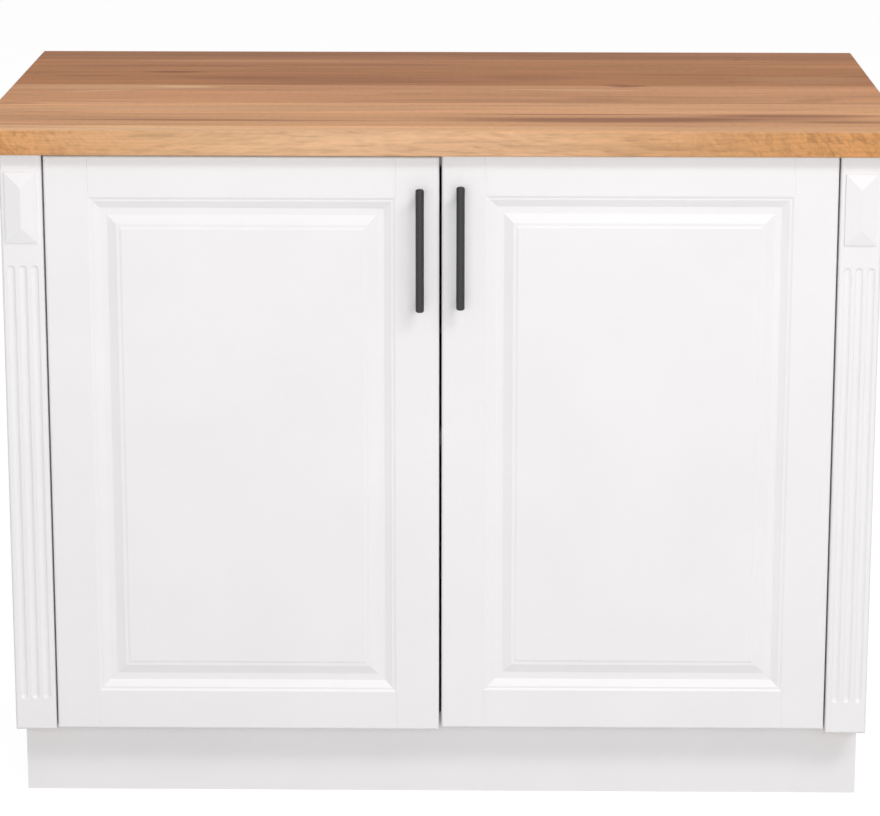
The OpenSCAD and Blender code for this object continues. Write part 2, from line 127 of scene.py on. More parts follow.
def axesOf(tree, vector):
    return addNode(tree, "ShaderNodeSeparateXYZ", {"Vector": vector}).outputs


def mathOf(tree, operation, *terms):
    settings = {"operation": operation, **dict(enumerate(terms))}
    return addNode(tree, "ShaderNodeMath", settings).outputs[0]


def vectorOf(tree, operation, *terms):
    settings = {"operation": operation, **dict(enumerate(terms))}
    outputs = addNode(tree, "ShaderNodeVectorMath", settings).outputs
    return outputs["Value"] if operation == "LENGTH" else outputs["Vector"]


def noiseAt(tree, vector, scale, detail, roughness=0.5, distortion=0.0):
    return addNode(tree, "ShaderNodeTexNoise", {
        "Vector": vector, "Scale": scale, "Detail": detail, "Roughness": roughness,
        "Distortion": distortion,
    }).outputs


def rampOf(tree, value, stops, interpolation="LINEAR"):
    # each stop is a place from 0 to 1 and the colour or grey level there
    node = addNode(tree, "ShaderNodeValToRGB", {"Fac": value})
    ramp = node.color_ramp
    ramp.interpolation = interpolation
    while len(ramp.elements) < len(stops):
        ramp.elements.new(1.0)
    for element, (place, tone) in zip(ramp.elements, stops):
        element.position = place
        element.color = asColour(tone)
    return node.outputs["Color"]


def rangeOf(tree, value, low, high, source=(0.0, 1.0), kind="LINEAR"):
    return addNode(tree, "ShaderNodeMapRange", {
        "interpolation_type": kind, "Value": value, "From Min": source[0], "From Max": source[1],
        "To Min": low, "To Max": high,
    }).outputs["Result"]


def blend(tree, share, base, colour, kind="MIX"):
    return addNode(tree, "ShaderNodeMix", {
        "data_type": "RGBA", "blend_type": kind, 0: share, 6: base, 7: colour,
    }).outputs[2]


def multiplied(tree, *tones):
    product = tones[0]
    for tone in tones[1:]:
        product = blend(tree, 1.0, product, tone, "MULTIPLY")
    return product


def bumpOf(tree, height, strength, distance=0.0002):
    settings = {"Strength": strength, "Distance": distance, "Height": height}
    return addNode(tree, "ShaderNodeBump", settings).outputs["Normal"]


# Solid oak staves, planed, sanded and oiled: warm and silky, with open pores, brown heartwood
# streaks and a few knots

oakTop = {
    "shader": {"Specular IOR Level": 0.08, "IOR": 1.47},
    "frontEdge": -0.3175,
    "depth": 0.650,
    "halfWidth": 0.550,
    # ranges of the normal over which the front edge, the end grain and the underside fade in
    "frontNormals": (-0.9, -0.4),
    "endNormals": (0.6, 0.9),
    "underNormals": (-0.99, -0.90),
    # each stave's start, measured back from the front edge, its tone and the seed of its figure
    "staves": [
        (0.000, "#f5bb89", 0.31), (0.038, "#dea374", 0.74), (0.128, "#eaad7d", 0.12),
        (0.208, "#d6996c", 0.55), (0.352, "#b97b4e", 0.90), (0.485, "#c18356", 0.43),
        (0.575, "#ad754f", 0.67),
    ],
    "seedStep": (9.0, 0.0, 2.0),  # from seed 0 to seed 1 the figure moves this far
    # tones along the front edge, from its left end to its right end
    "edgeTones": [
        (0.0, "#cf8a4c"), (0.03, "#d5965d"), (0.22, "#dda87c"), (0.40, "#e6b78f"),
        (0.62, "#e3b48b"), (0.85, "#daa26d"), (1.0, "#d89a62"),
    ],
    # growth rings: waves of the noise, lean from stave to stave, spacing and tones
    "swayScale": (2.2, 7.0, 7.0),
    "swayNoise": (2.0, 0.45),
    "sway": 0.090,
    "lean": 1.3,
    "ringSpacing": 0.0034,
    "ringTones": [(0.0, 0.90), (0.12, 1.03), (0.60, 1.00), (0.92, 0.84), (1.0, 0.88)],
    # Noise layers: cycles per metre along, across and up, then the noise's detail, roughness and
    # distortion, then its tones. Broad streaks are 20 to 60 mm wide and fine ones 4 mm, pores are
    # dark dashes 0.5 mm wide and up to 12 mm long.
    "broad": ((1.6, 26.0, 26.0), (4.0, 0.6, 0.5), [(0.30, 0.80), (0.48, 0.98), (0.70, 1.12)]),
    "fine": ((5.0, 240.0, 240.0), (3.0, 0.6), [(0.32, 0.86), (0.55, 1.0), (0.75, 1.06)]),
    "pores": ((80.0, 1400.0, 1400.0), (1.0,), [(0.33, 0.72), (0.42, 1.0)]),
    # soft level streaks 5 mm high and up to 70 mm long along the front edge's middle
    "streaks": ((19.0, 0.0, 200.0), (3.0, 0.6, 0.3), [(0.34, 0.82), (0.48, 0.98), (0.66, 1.06)]),
    # soft slanting strokes near its ends: turn in degrees, width and length, noise and tones
    "strokeTurn": -42,
    "strokeSize": (0.008, 1.0, 0.018),
    "strokeNoise": (3.0, 0.55, 1.2),
    "strokeTones": [(0.34, 0.70), (0.50, 0.98), (0.68, 1.12)],
    "strokeShares": [(0.02, 0.9), (0.20, 0.0), (0.70, 0.0), (0.92, 0.9)],
    # how far rings, fine lines and pores fade on the front edge, and the level they fade to
    "edgeFading": (0.60, 0.94),
    "endGrain": ("#7d5233", 0.30),  # drinks more oil
    "underside": ("#d8cdc0", 0.85),  # gets one thin coat
    "gloss": (0.68, 0.52),
    "relief": 0.35,
    # knots, heartwood and pale streaks: middle x and y, half length, half width, turn in degrees
    # and strength; the bend lets their edges follow the broad streaks
    "bend": (0.10, 0.024, 0.0),
    "markEdge": (0.35, 1.1),
    "heart": "#7a4229",
    "pale": "#f6d2a6",
    "heartMarks": [
        (-0.355, 0.143, 0.050, 0.011, 0, 0.80), (0.228, 0.035, 0.027, 0.014, 0, 0.66),
        (0.387, 0.272, 0.006, 0.024, 0, 0.30), (-0.050, 0.305, 0.450, 0.035, 0, 0.08),
        (-0.390, 0.198, 0.160, 0.012, 0, 0.32), (-0.110, 0.208, 0.180, 0.012, 0, 0.32),
        (0.350, 0.222, 0.200, 0.012, 0, 0.14), (-0.460, 0.108, 0.060, 0.010, 0, 0.30),
        (-0.280, 0.095, 0.130, 0.022, -8, 0.24), (-0.120, 0.098, 0.250, 0.042, 0, 0.22),
        (-0.100, 0.064, 0.220, 0.014, 0, 0.30), (0.110, 0.102, 0.080, 0.034, 0, 0.24),
        (0.320, 0.132, 0.100, 0.009, 0, 0.24), (0.530, 0.122, 0.030, 0.008, 0, 0.24),
        (-0.040, -0.036, 0.045, 0.010, 0, 0.24), (0.185, -0.072, 0.050, 0.024, 0, 0.22),
        (0.465, -0.082, 0.040, 0.020, 20, 0.24), (-0.530, -0.118, 0.050, 0.014, 0, 0.34),
        (-0.020, -0.070, 0.200, 0.050, 0, 0.08), (-0.490, -0.183, 0.080, 0.005, 0, 0.30),
        (-0.280, -0.241, 0.270, 0.009, 0, 0.48), (0.150, -0.193, 0.170, 0.008, 0, 0.56),
        (0.430, -0.200, 0.140, 0.016, 0, 0.56), (0.200, -0.234, 0.240, 0.024, 0, 0.66),
        (0.370, -0.220, 0.170, 0.030, 0, 0.36), (0.480, -0.246, 0.080, 0.010, 0, 0.45),
        (0.360, -0.285, 0.340, 0.045, 0, 0.13),
    ],
    "paleMarks": [
        (-0.330, 0.020, 0.048, 0.012, 0, 0.40), (-0.430, -0.020, 0.040, 0.010, 12, 0.24),
        (0.160, -0.002, 0.120, 0.009, 0, 0.30), (-0.250, 0.240, 0.250, 0.010, 0, 0.14),
        (-0.300, -0.150, 0.280, 0.020, 0, 0.12), (0.460, 0.090, 0.110, 0.040, 0, 0.10),
        (-0.420, 0.015, 0.160, 0.030, 0, 0.18), (-0.300, -0.305, 0.400, 0.025, 0, 0.25),
    ],
}


def figureLayer(tree, vector, layer):
    factors, noise, tones = layer
    outputs = noiseAt(tree, vectorOf(tree, "MULTIPLY", vector, factors), 1.0, *noise)
    return outputs, rampOf(tree, outputs["Fac"], tones)


def ringFigure(tree, look, axes, seed, own):
    waves = vectorOf(tree, "MULTIPLY", own, look["swayScale"])
    waving = noiseAt(tree, waves, 1.0, *look["swayNoise"])["Fac"]
    lean = rangeOf(tree, seed, -look["lean"], look["lean"])
    leaning = mathOf(tree, "MULTIPLY_ADD", axes["Z"], lean, axes["Y"])
    swayed = mathOf(tree, "MULTIPLY_ADD", waving, look["sway"], leaning)
    rings = mathOf(tree, "FRACT", mathOf(tree, "DIVIDE", swayed, look["ringSpacing"]))
    return rampOf(tree, rings, look["ringTones"])


def edgeFigure(tree, look, place, across):
    streakTone = figureLayer(tree, place, look["streaks"])[1]
    slanted = addNode(tree, "ShaderNodeMapping", {
        "vector_type": "TEXTURE", "Vector": place, "Scale": look["strokeSize"],
        "Rotation": (0.0, math.radians(look["strokeTurn"]), 0.0),
    }).outputs["Vector"]
    strokes = noiseAt(tree, slanted, 1.0, *look["strokeNoise"])["Fac"]
    strokeTone = rampOf(tree, strokes, look["strokeTones"])
    return blend(tree, rampOf(tree, across, look["strokeShares"]), streakTone, strokeTone)


def markedOak(tree, look, tone, flow, place):
    bend = look["bend"]
    bent = vectorOf(tree, "MULTIPLY_ADD", flow, bend, place)
    flat = vectorOf(tree, "MULTIPLY", bent, (1.0, 1.0, 0.0))
    for kind in ("heart", "pale"):
        for x, y, halfLength, halfWidth, turn, strength in look[kind + "Marks"]:
            away = addNode(tree, "ShaderNodeMapping", {
                "vector_type": "TEXTURE", "Vector": flat,
                "Location": (x + bend[0] / 2, y + bend[1] / 2, 0.0),
                "Rotation": (0.0, 0.0, math.radians(turn)), "Scale": (halfLength, halfWidth, 1.0),
            }).outputs["Vector"]
            reach = vectorOf(tree, "LENGTH", away)
            share = rangeOf(tree, reach, strength, 0.0, look["markEdge"], "SMOOTHSTEP")
            tone = blend(tree, share, tone, asColour(look[kind]))
    return tone


def oiledOak(look):
    material, tree, shader = newMaterial("oiled_oak", look["shader"])
    spots = addNode(tree, "ShaderNodeTexCoord").outputs
    place = spots["Object"]
    axes, normal = axesOf(tree, place), axesOf(tree, spots["Normal"])
    front, depth, half = look["frontEdge"], look["depth"], look["halfWidth"]
    back = rangeOf(tree, axes["Y"], 0.0, 1.0, (front, front + depth))
    across = rangeOf(tree, axes["X"], 0.0, 1.0, (-half, half))
    starts = [start / depth for start, hue, number in look["staves"]]
    hues = [hue for start, hue, number in look["staves"]]
    numbers = [number for start, hue, number in look["staves"]]
    tone = rampOf(tree, back, list(zip(starts, hues)), "CONSTANT")
    seed = rampOf(tree, back, list(zip(starts, numbers)), "CONSTANT")
    onEdge = rangeOf(tree, normal["Y"], 1.0, 0.0, look["frontNormals"])
    tone = blend(tree, onEdge, tone, rampOf(tree, across, look["edgeTones"]))
    # each stave samples the figure at another place along the log
    own = vectorOf(tree, "MULTIPLY_ADD", seed, look["seedStep"], place)
    ringTone = ringFigure(tree, look, axes, seed, own)
    broad, broadTone = figureLayer(tree, own, look["broad"])
    fine, fineTone = figureLayer(tree, own, look["fine"])
    poreTone = figureLayer(tree, own, look["pores"])[1]
    fading, level = look["edgeFading"]
    faded = mathOf(tree, "MULTIPLY", onEdge, fading)
    lines = blend(tree, faded, multiplied(tree, ringTone, fineTone, poreTone), asColour(level))
    tone = multiplied(tree, tone, lines, broadTone)
    tone = markedOak(tree, look, tone, broad["Color"], place)
    figured = multiplied(tree, tone, edgeFigure(tree, look, place, across))
    tone = blend(tree, onEdge, tone, figured)
    hue, share = look["endGrain"]
    sideways = mathOf(tree, "ABSOLUTE", normal["X"])
    endwise = rangeOf(tree, sideways, 0.0, share, look["endNormals"])
    tone = blend(tree, endwise, tone, asColour(hue))
    hue, share = look["underside"]
    below = rangeOf(tree, normal["Z"], share, 0.0, look["underNormals"])
    tone = blend(tree, below, tone, asColour(hue))
    feed(tree, shader, {
        "Base Color": tone,
        "Roughness": rangeOf(tree, fine["Fac"], *look["gloss"]),
        "Normal": bumpOf(tree, mathOf(tree, "MULTIPLY", poreTone, ringTone), look["relief"]),
    })
    return material


# Polyurethane enamel, sprayed over beech doors and MDF boards: even white, satin, with a faint
# orange peel. Each noise below has a scale in cycles per metre and a detail.

enamel = {
    "tint": (9.0, 3.0),
    "tones": [(0.35, "#f0eeef"), (0.65, "#f2f0f1")],
    "cloud": (30.0, 4.0),
    "roughness": {"satin_enamel_on_beech": 0.38, "satin_enamel_on_mdf": 0.40},
    "glossSpread": 0.06,
    "peel": (400.0, 1.0),  # dimples about 2.5 mm across
    "relief": (0.10, 0.0004),
}


def sprayedEnamel(look, name):
    material, tree, shader = newMaterial(name, {"IOR": 1.5})
    place = placeOf(tree)
    tint = noiseAt(tree, place, *look["tint"])["Fac"]
    cloud = noiseAt(tree, place, *look["cloud"])["Fac"]
    peel = noiseAt(tree, place, *look["peel"])["Fac"]
    roughness, spread = look["roughness"][name], look["glossSpread"]
    feed(tree, shader, {
        "Base Color": rampOf(tree, tint, look["tones"]),
        "Roughness": rangeOf(tree, cloud, roughness - spread, roughness + spread),
        "Normal": bumpOf(tree, peel, *look["relief"]),
    })
    return material


# Chipboard pressed between melamine papers: a fine pearl texture on the faces, and raw chips on
# the rear edges, which are sawn and left bare

bareMargin = 0.0004  # how far in front of a board's rear its bare side starts
melamineBoard = {
    "tint": (14.0, 3.0),
    "face": [(0.35, "#eceae8"), (0.65, "#f0eeed")],
    "rawBehind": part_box("left_side_panel")[1].y - bareMargin,
    "chipScale": 520.0,  # wood chips 1 to 3 mm long
    "chips": [(0.0, "#8f6c48"), (0.5, "#b9946a"), (1.0, "#d3b58c")],
    "gloss": (0.42, 0.80),
    "pearl": (900.0, 1.0),  # shallow grains 1 mm across
    "relief": 0.18,
}


def melamineChipboard(look):
    material, tree, shader = newMaterial("melamine_chipboard", {"IOR": 1.5})
    place = placeOf(tree)
    tint = noiseAt(tree, place, *look["tint"])["Fac"]
    chips = addNode(tree, "ShaderNodeTexVoronoi", {"Scale": look["chipScale"], "Vector": place})
    chipGrey = addNode(tree, "ShaderNodeRGBToBW", {"Color": chips.outputs["Color"]}).outputs["Val"]
    bare = mathOf(tree, "GREATER_THAN", axesOf(tree, place)["Y"], look["rawBehind"])
    face, raw = rampOf(tree, tint, look["face"]), rampOf(tree, chipGrey, look["chips"])
    feed(tree, shader, {
        "Base Color": blend(tree, bare, face, raw),
        "Roughness": rangeOf(tree, bare, *look["gloss"]),
        "Normal": bumpOf(tree, noiseAt(tree, place, *look["pearl"])["Fac"], look["relief"]),
    })
    return material


# Hardboard, lacquered white on the side that faces into the cabinet, bare brown fibre behind

hardBoard = {
    "face": "#ebe9e6",
    "fibres": (260.0, 5.0, 0.7),  # cycles per metre, detail and roughness of the noise
    "fibreTones": [(0.35, "#8a6544"), (0.65, "#a07a55")],
    "rawBehind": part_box("back_panel")[1].y - bareMargin,
    "gloss": (0.38, 0.75),
    "relief": 0.25,
}


def facedHardboard(look):
    material, tree, shader = newMaterial("faced_hardboard", {"IOR": 1.5})
    place = placeOf(tree)
    fibres = noiseAt(tree, place, *look["fibres"])["Fac"]
    bare = mathOf(tree, "GREATER_THAN", axesOf(tree, place)["Y"], look["rawBehind"])
    brown = rampOf(tree, fibres, look["fibreTones"])
    feed(tree, shader, {
        "Base Color": blend(tree, bare, asColour(look["face"]), brown),
        "Roughness": rangeOf(tree, bare, *look["gloss"]),
        "Normal": bumpOf(tree, fibres, look["relief"]),
    })
    return material


# Spruce, sawn and planed: pale straw colour with darker latewood lines up its length

spruce = {
    "shader": {"Roughness": 0.65, "IOR": 1.45},
    "scale": (60.0, 60.0, 1.5),  # cycles per metre across and up
    "detail": 2.0,
    "rings": 9.0,  # for each full swing of the noise
    "tones": [(0.0, "#e2c493"), (0.65, "#dcb980"), (0.92, "#bd8f55"), (1.0, "#d9b680")],
    "relief": 0.2,
}


def planedSpruce(look):
    material, tree, shader = newMaterial("planed_spruce", look["shader"])
    drawn = vectorOf(tree, "MULTIPLY", placeOf(tree), look["scale"])
    sway = noiseAt(tree, drawn, 1.0, look["detail"])["Fac"]
    ring = mathOf(tree, "FRACT", mathOf(tree, "MULTIPLY", sway, look["rings"]))
    feed(tree, shader, {
        "Base Color": rampOf(tree, ring, look["tones"]),
        "Normal": bumpOf(tree, ring, look["relief"]),
    })
    return material


# Materials with a single fine noise, given as cycles per metre and detail

# Polyester powder, sprayed on steel and baked: charcoal black, matt, slightly grainy. The grains
# are drawn 0.7 mm across, coarser than the real 0.2 mm, so that they show.
powderCoat = {
    "shader": {"IOR": 1.5}, "noise": (1400.0, 2.0), "tones": [(0.35, "#232122"), (0.70, "#302e2f")],
    "gloss": (0.42, 0.58), "relief": 0.35,
}
# Steel, stamped and nickel plated in a barrel: warm and satin
nickelPlate = {
    "shader": {"Metallic": 1.0}, "noise": (160.0, 4.0),
    "tones": [(0.35, "#bdb7ac"), (0.65, "#cfcac0")], "gloss": (0.22, 0.38),
}
# Steel, rolled and zinc plated: cool and slightly mottled
zincPlate = {
    "shader": {"Metallic": 1.0}, "noise": (160.0, 4.0),
    "tones": [(0.35, "#b9bec2"), (0.65, "#cdd2d6")], "gloss": (0.24, 0.40),
}
# Polypropylene, injection moulded in a spark-eroded mould: near black, matt, finely grained
mouldedPlastic = {
    "shader": {"IOR": 1.49}, "noise": (1100.0, 2.0), "tones": [(0.3, "#26262a"), (0.7, "#2f2f33")],
    "gloss": (0.5, 0.62), "relief": 0.25,
}
# Polyurethane, cast in dots: cloudy, soft and a little glossy
softDot = {
    "shader": {"IOR": 1.48, "Transmission Weight": 0.35, "Roughness": 0.3},
    "noise": (500.0, 2.0), "tones": [(0.3, "#d9d9d4"), (0.7, "#e6e6e2")],
}


def finelyGrained(look, name):
    material, tree, shader = newMaterial(name, look["shader"])
    grain = noiseAt(tree, placeOf(tree), *look["noise"])["Fac"]
    feed(tree, shader, {"Base Color": rampOf(tree, grain, look["tones"])})
    if "gloss" in look:
        feed(tree, shader, {"Roughness": rangeOf(tree, grain, *look["gloss"])})
    if "relief" in look:
        feed(tree, shader, {"Normal": bumpOf(tree, grain, look["relief"])})
    return material


finishes = {
    "oak": oiledOak(oakTop),
    "painted_door": sprayedEnamel(enamel, "satin_enamel_on_beech"),
    "painted_board": sprayedEnamel(enamel, "satin_enamel_on_mdf"),
    "melamine_board": melamineChipboard(melamineBoard),
    "backing_board": facedHardboard(hardBoard),
    "softwood": planedSpruce(spruce),
    "black_metal": finelyGrained(powderCoat, "black_powder_coat"),
    "nickel_steel": finelyGrained(nickelPlate, "nickel_plated_steel"),
    "zinc_steel": finelyGrained(zincPlate, "zinc_plated_steel"),
    "leg_plastic": finelyGrained(mouldedPlastic, "moulded_polypropylene"),
    "bumper_rubber": finelyGrained(softDot, "cast_polyurethane"),
}
slotOf = {part["node"]: part["material_slot"] for part in frame["record"]["subparts"]}
for name, node in frame["nodes"].items():
    node.data.materials.clear()
    node.data.materials.append(finishes[slotOf[name]])
print("materials made and given to the nodes")


# Helpers for modelling by hand

smoothAngle = math.radians(35)


def activate(piece):
    bpy.ops.object.select_all(action="DESELECT")
    piece.select_set(True)
    bpy.context.view_layer.objects.active = piece


def addCylinder(sides, radius, depth, middle):
    bpy.ops.object.select_all(action="DESELECT")
    bpy.ops.mesh.primitive_cylinder_add(
        vertices=sides, radius=radius, depth=depth, location=middle,
    )
    bpy.ops.object.transform_apply(location=True)
    return bpy.context.object


def selectFaces(piece, wanted):
    # leaves selected the faces whose normal is wanted
    bpy.ops.mesh.select_mode(type="FACE")
    bpy.ops.mesh.select_all(action="DESELECT")
    shape = bmesh.from_edit_mesh(piece.data)
    for face in shape.faces:
        face.select_set(wanted(face.normal))
    bmesh.update_edit_mesh(piece.data)


def facesUp(normal):
    return normal.z > 0.9


def facesDown(normal):
    return normal.z < -0.9


def facesSideways(normal):
    return abs(normal.z) < 0.1


def extrudeUp(height):
    bpy.ops.mesh.extrude_region_move(TRANSFORM_OT_translate={"value": (0, 0, height)})


def carve(piece, cutter):
    activate(piece)
    cut = piece.modifiers.new("cut", "BOOLEAN")
    cut.operation = "DIFFERENCE"
    cut.solver = "EXACT"
    cut.object = cutter
    bpy.ops.object.modifier_apply(modifier=cut.name)
    bpy.data.objects.remove(cutter)


def dress(piece, name, body, slot):
    piece.name = name
    piece.data.name = name
    piece.data.materials.clear()
    piece.data.materials.append(finishes[slot])
    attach(piece, body)


def copiesOf(model, name, body, slot, places):
    # one piece made of a copy of the model at each place
    copies = []
    for place in places:
        copy = bpy.data.objects.new(name, model.data.copy())
        bpy.context.scene.collection.objects.link(copy)
        copy.data.transform(place)
        copies.append(copy)
    activate(copies[0])
    for copy in copies:
        copy.select_set(True)
    if len(copies) > 1:
        bpy.ops.object.join()
    joined = bpy.context.view_layer.objects.active
    dress(joined, name, body, slot)
    return joined


# Cross-recessed pan-head screws, modelled head up with the seat of the head at the origin

screwKinds = {
    "cupScrew": {"head": 0.0036, "height": 0.0020, "shank": 0.0017, "reach": 0.003},
    "plateScrew": {"head": 0.0042, "height": 0.0024, "shank": 0.0020, "reach": 0.003},
    "armScrew": {"head": 0.0034, "height": 0.0016, "shank": 0.0015, "reach": 0.001},
    "handleScrew": {"head": 0.0040, "height": 0.0024, "shank": 0.0019, "reach": 0.030},
    "worktopScrew": {"head": 0.0045, "height": 0.0030, "shank": 0.0019, "reach": 0.036},
    "socketScrew": {"head": 0.0038, "height": 0.0022, "shank": 0.0018, "reach": 0.003},
}
screwForm = {
    "sides": 32,
    "crownSegments": 4,
    # shares of the head's height
    "crown": 0.7,
    "crossHeight": 1.3,
    "crossTaperMiddle": 0.35,
    # shares of the head's radius
    "crossCore": 0.26,
    "crossArm": 0.36,
    # shares of the shank's radius
    "tipInset": 0.4,
    "tipLength": 0.5,
    "crownProfile": 0.55,
    "crossTaper": 0.55,
}


def panHeadScrew(look, form):
    head, height, shank = look["head"], look["height"], look["shank"]
    screw = addCylinder(form["sides"], head, height, (0, 0, height / 2))
    bpy.ops.object.mode_set(mode="EDIT")
    selectFaces(screw, facesUp)
    bpy.ops.mesh.bevel(
        offset=height * form["crown"], segments=form["crownSegments"],
        profile=form["crownProfile"],
    )
    selectFaces(screw, facesDown)
    bpy.ops.mesh.inset(thickness=head - shank)
    extrudeUp(-look["reach"])
    bpy.ops.mesh.inset(thickness=shank * form["tipInset"])
    bpy.ops.transform.translate(value=(0, 0, -shank * form["tipLength"]))
    bpy.ops.object.mode_set(mode="OBJECT")
    carve(screw, crossCutter(head, height, form))
    bpy.ops.object.shade_smooth_by_angle(angle=smoothAngle)
    return screw


def crossCutter(head, height, form):
    # a small block whose four sides are drawn out into a cross that narrows downwards
    core = head * form["crossCore"]
    bpy.ops.object.select_all(action="DESELECT")
    bpy.ops.mesh.primitive_cube_add(
        size=core, location=(0, 0, height), scale=(1, 1, height * form["crossHeight"] / core),
    )
    cutter = bpy.context.object
    bpy.ops.object.transform_apply(location=True, scale=True)
    bpy.ops.object.mode_set(mode="EDIT")
    selectFaces(cutter, facesSideways)
    bpy.ops.mesh.extrude_faces_move(
        TRANSFORM_OT_shrink_fatten={"value": head * form["crossArm"]},
    )
    selectFaces(cutter, facesDown)
    taper = form["crossTaper"]
    bpy.ops.transform.resize(
        value=(taper, taper, 1), center_override=(0, 0, height * form["crossTaperMiddle"]),
    )
    bpy.ops.object.mode_set(mode="OBJECT")
    return cutter


def facing(direction, spot):
    # turns a screw's head to the direction and moves its seat to the spot
    turn = Vector(direction).to_track_quat("Z", "Y").to_matrix().to_4x4()
    return Matrix.Translation(spot) @ turn


def middleOf(name):
    low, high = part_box(name)
    return (low + high) / 2


screws = {kind: panHeadScrew(look, screwForm) for kind, look in screwKinds.items()}

hingeScrews = {
    "cupSpan": 0.024,  # above and below the cup's middle
    "cupFlange": 0.001,
    "plateSpan": 0.016,  # above and below the plate's middle
    "plateEdge": 0.025,  # from a plate's end to its middle
    "plateWing": 0.0025,
    "armPlaces": (-0.008, 0.014),
    "armWall": 0.001,
}


def fitHingeScrews(look):
    for side, inwards in (("left", 1), ("right", -1)):
        inner = 1 if inwards > 0 else 0  # the corner of a box that faces into the cabinet
        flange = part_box(side + "_door_hinge_stile")[1].y + look["cupFlange"]
        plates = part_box(side + "_hinge_plates")
        plateMiddle = (plates[0].y + plates[1].y) / 2
        cupSeats, armSeats = [], []
        for end in ("upper", "lower"):
            cup = middleOf(side + "_door_" + end + "_cup")
            for step in (-look["cupSpan"], look["cupSpan"]):
                cupSeats.append(facing((0, 1, 0), (cup.x, flange, cup.z + step)))
            arm = side + "_" + end + "_hinge_arm"
            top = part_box(arm)[inner].x - inwards * look["armWall"]
            for step in look["armPlaces"]:
                spot = (top, plateMiddle + step, middleOf(arm).z)
                armSeats.append(facing((inwards, 0, 0), spot))
        wall = plates[1 - inner].x + inwards * look["plateWing"]
        plateSeats = [
            facing((inwards, 0, 0), (wall, plateMiddle, height + step))
            for height in (plates[0].z + look["plateEdge"], plates[1].z - look["plateEdge"])
            for step in (-look["plateSpan"], look["plateSpan"])
        ]
        for kind, body, seats in (
            ("cup", side + "_door", cupSeats),
            ("arm", "carcass", armSeats),
            ("plate", "carcass", plateSeats),
        ):
            model = screws[kind + "Screw"]
            copiesOf(model, side + "_" + kind + "_screws", body, "nickel_steel", seats)


def fitHandleScrews(look):
    for side in ("left", "right"):
        low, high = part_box(side + "_handle_screws")
        seats = [
            facing((0, 1, 0), ((low.x + high.x) / 2, high.y - look["height"], z))
            for z in (low.z + look["head"], high.z - look["head"])
        ]
        name = side + "_handle_screws_recessed"
        pair = copiesOf(screws["handleScrew"], name, side + "_door", "zinc_steel", seats)
        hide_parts(side + "_handle_screws")


def fitWorktopScrews(look):
    low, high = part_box("worktop_screws")
    seats = [
        facing((0, 0, -1), (x, y, low.z + look["height"]))
        for x in (low.x + look["head"], (low.x + high.x) / 2, high.x - look["head"])
        for y in (low.y + look["head"], high.y - look["head"])
    ]
    model = screws["worktopScrew"]
    row = copiesOf(model, "worktop_screws_recessed", "carcass", "zinc_steel", seats)
    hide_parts("worktop_screws")


socketScrews = {"circle": 0.028, "flange": 0.004, "count": 4}
legNames = [end + "_" + side for end in ("front", "rear") for side in ("left", "right")]


def fitSocketScrews(look):
    for leg in legNames:
        middle = middleOf(leg + "_leg_socket")
        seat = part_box(leg + "_leg_socket")[1].z - look["flange"]
        seats = []
        for step in range(look["count"]):
            turn = math.tau * step / look["count"]
            x = middle.x + look["circle"] * math.cos(turn)
            y = middle.y + look["circle"] * math.sin(turn)
            seats.append(facing((0, 0, -1), (x, y, seat)))
        copiesOf(screws["socketScrew"], leg + "_socket_screws", "carcass", "zinc_steel", seats)


fitHingeScrews(hingeScrews)
fitHandleScrews(screwKinds["handleScrew"])
fitWorktopScrews(screwKinds["worktopScrew"])
fitSocketScrews(socketScrews)
for model in screws.values():
    bpy.data.objects.remove(model)
print("screws fitted")


# Levelling feet: a moulded disc with grip scallops and a coarse thread up the stem

footShape = {
    "sides": 96,
    "radius": 0.028,
    "rim": 0.005,
    "coneTop": 0.012,
    "coneRadius": 0.0175,
    "stem": 0.01345,
    "edge": 0.001,  # the rounding below the rim and the chamfer at the stem's top
    "edgeSegments": 2,
    "scallops": 8,
    "scallopSides": 24,
    "scallop": 0.003,  # radius of the cutter
    "scallopOut": 0.001,  # how far the cutter's middle lies outside the rim
    "scallopHeight": 0.004,
    "cutterLength": 0.03,
    "pitch": 0.004,
    "threadDepth": 0.0013,
    "threadSunk": 0.0006,  # how far a tooth starts inside the stem's core
    "threadStart": 0.003,  # above the cone
    "threadMargin": 0.006,  # plain stem in all
    "threadSteps": 40,
    "toothRoot": 0.36,  # half a tooth's height at its root and its tip, in pitches
    "toothTip": 0.16,
}


def footDisc(look, height, core):
    foot = addCylinder(look["sides"], look["radius"], look["rim"], (0, 0, look["rim"] / 2))
    bpy.ops.object.mode_set(mode="EDIT")
    selectFaces(foot, facesDown)
    bpy.ops.mesh.bevel(offset=look["edge"], segments=look["edgeSegments"])
    selectFaces(foot, facesUp)
    extrudeUp(look["coneTop"] - look["rim"])
    share = look["coneRadius"] / look["radius"]
    bpy.ops.transform.resize(value=(share, share, 1), center_override=(0, 0, look["coneTop"]))
    bpy.ops.mesh.inset(thickness=look["coneRadius"] - core)
    extrudeUp(height - look["coneTop"] - look["edge"])
    bpy.ops.mesh.inset(thickness=look["edge"])
    bpy.ops.transform.translate(value=(0, 0, look["edge"]))
    bpy.ops.object.mode_set(mode="OBJECT")
    return foot


def scallopCutter(look):
    # one notch cutter, spun into a ring of them
    out = look["radius"] + look["scallopOut"]
    middle = (out, 0, look["scallopHeight"])
    cutter = addCylinder(look["scallopSides"], look["scallop"], look["cutterLength"], middle)
    bpy.ops.object.mode_set(mode="EDIT")
    bpy.ops.mesh.select_all(action="SELECT")
    more = look["scallops"] - 1
    bpy.ops.mesh.spin(
        dupli=True, steps=more, angle=math.tau * more / look["scallops"],
        center=(0, 0, 0), axis=(0, 0, 1),
    )
    bpy.ops.object.mode_set(mode="OBJECT")
    return cutter


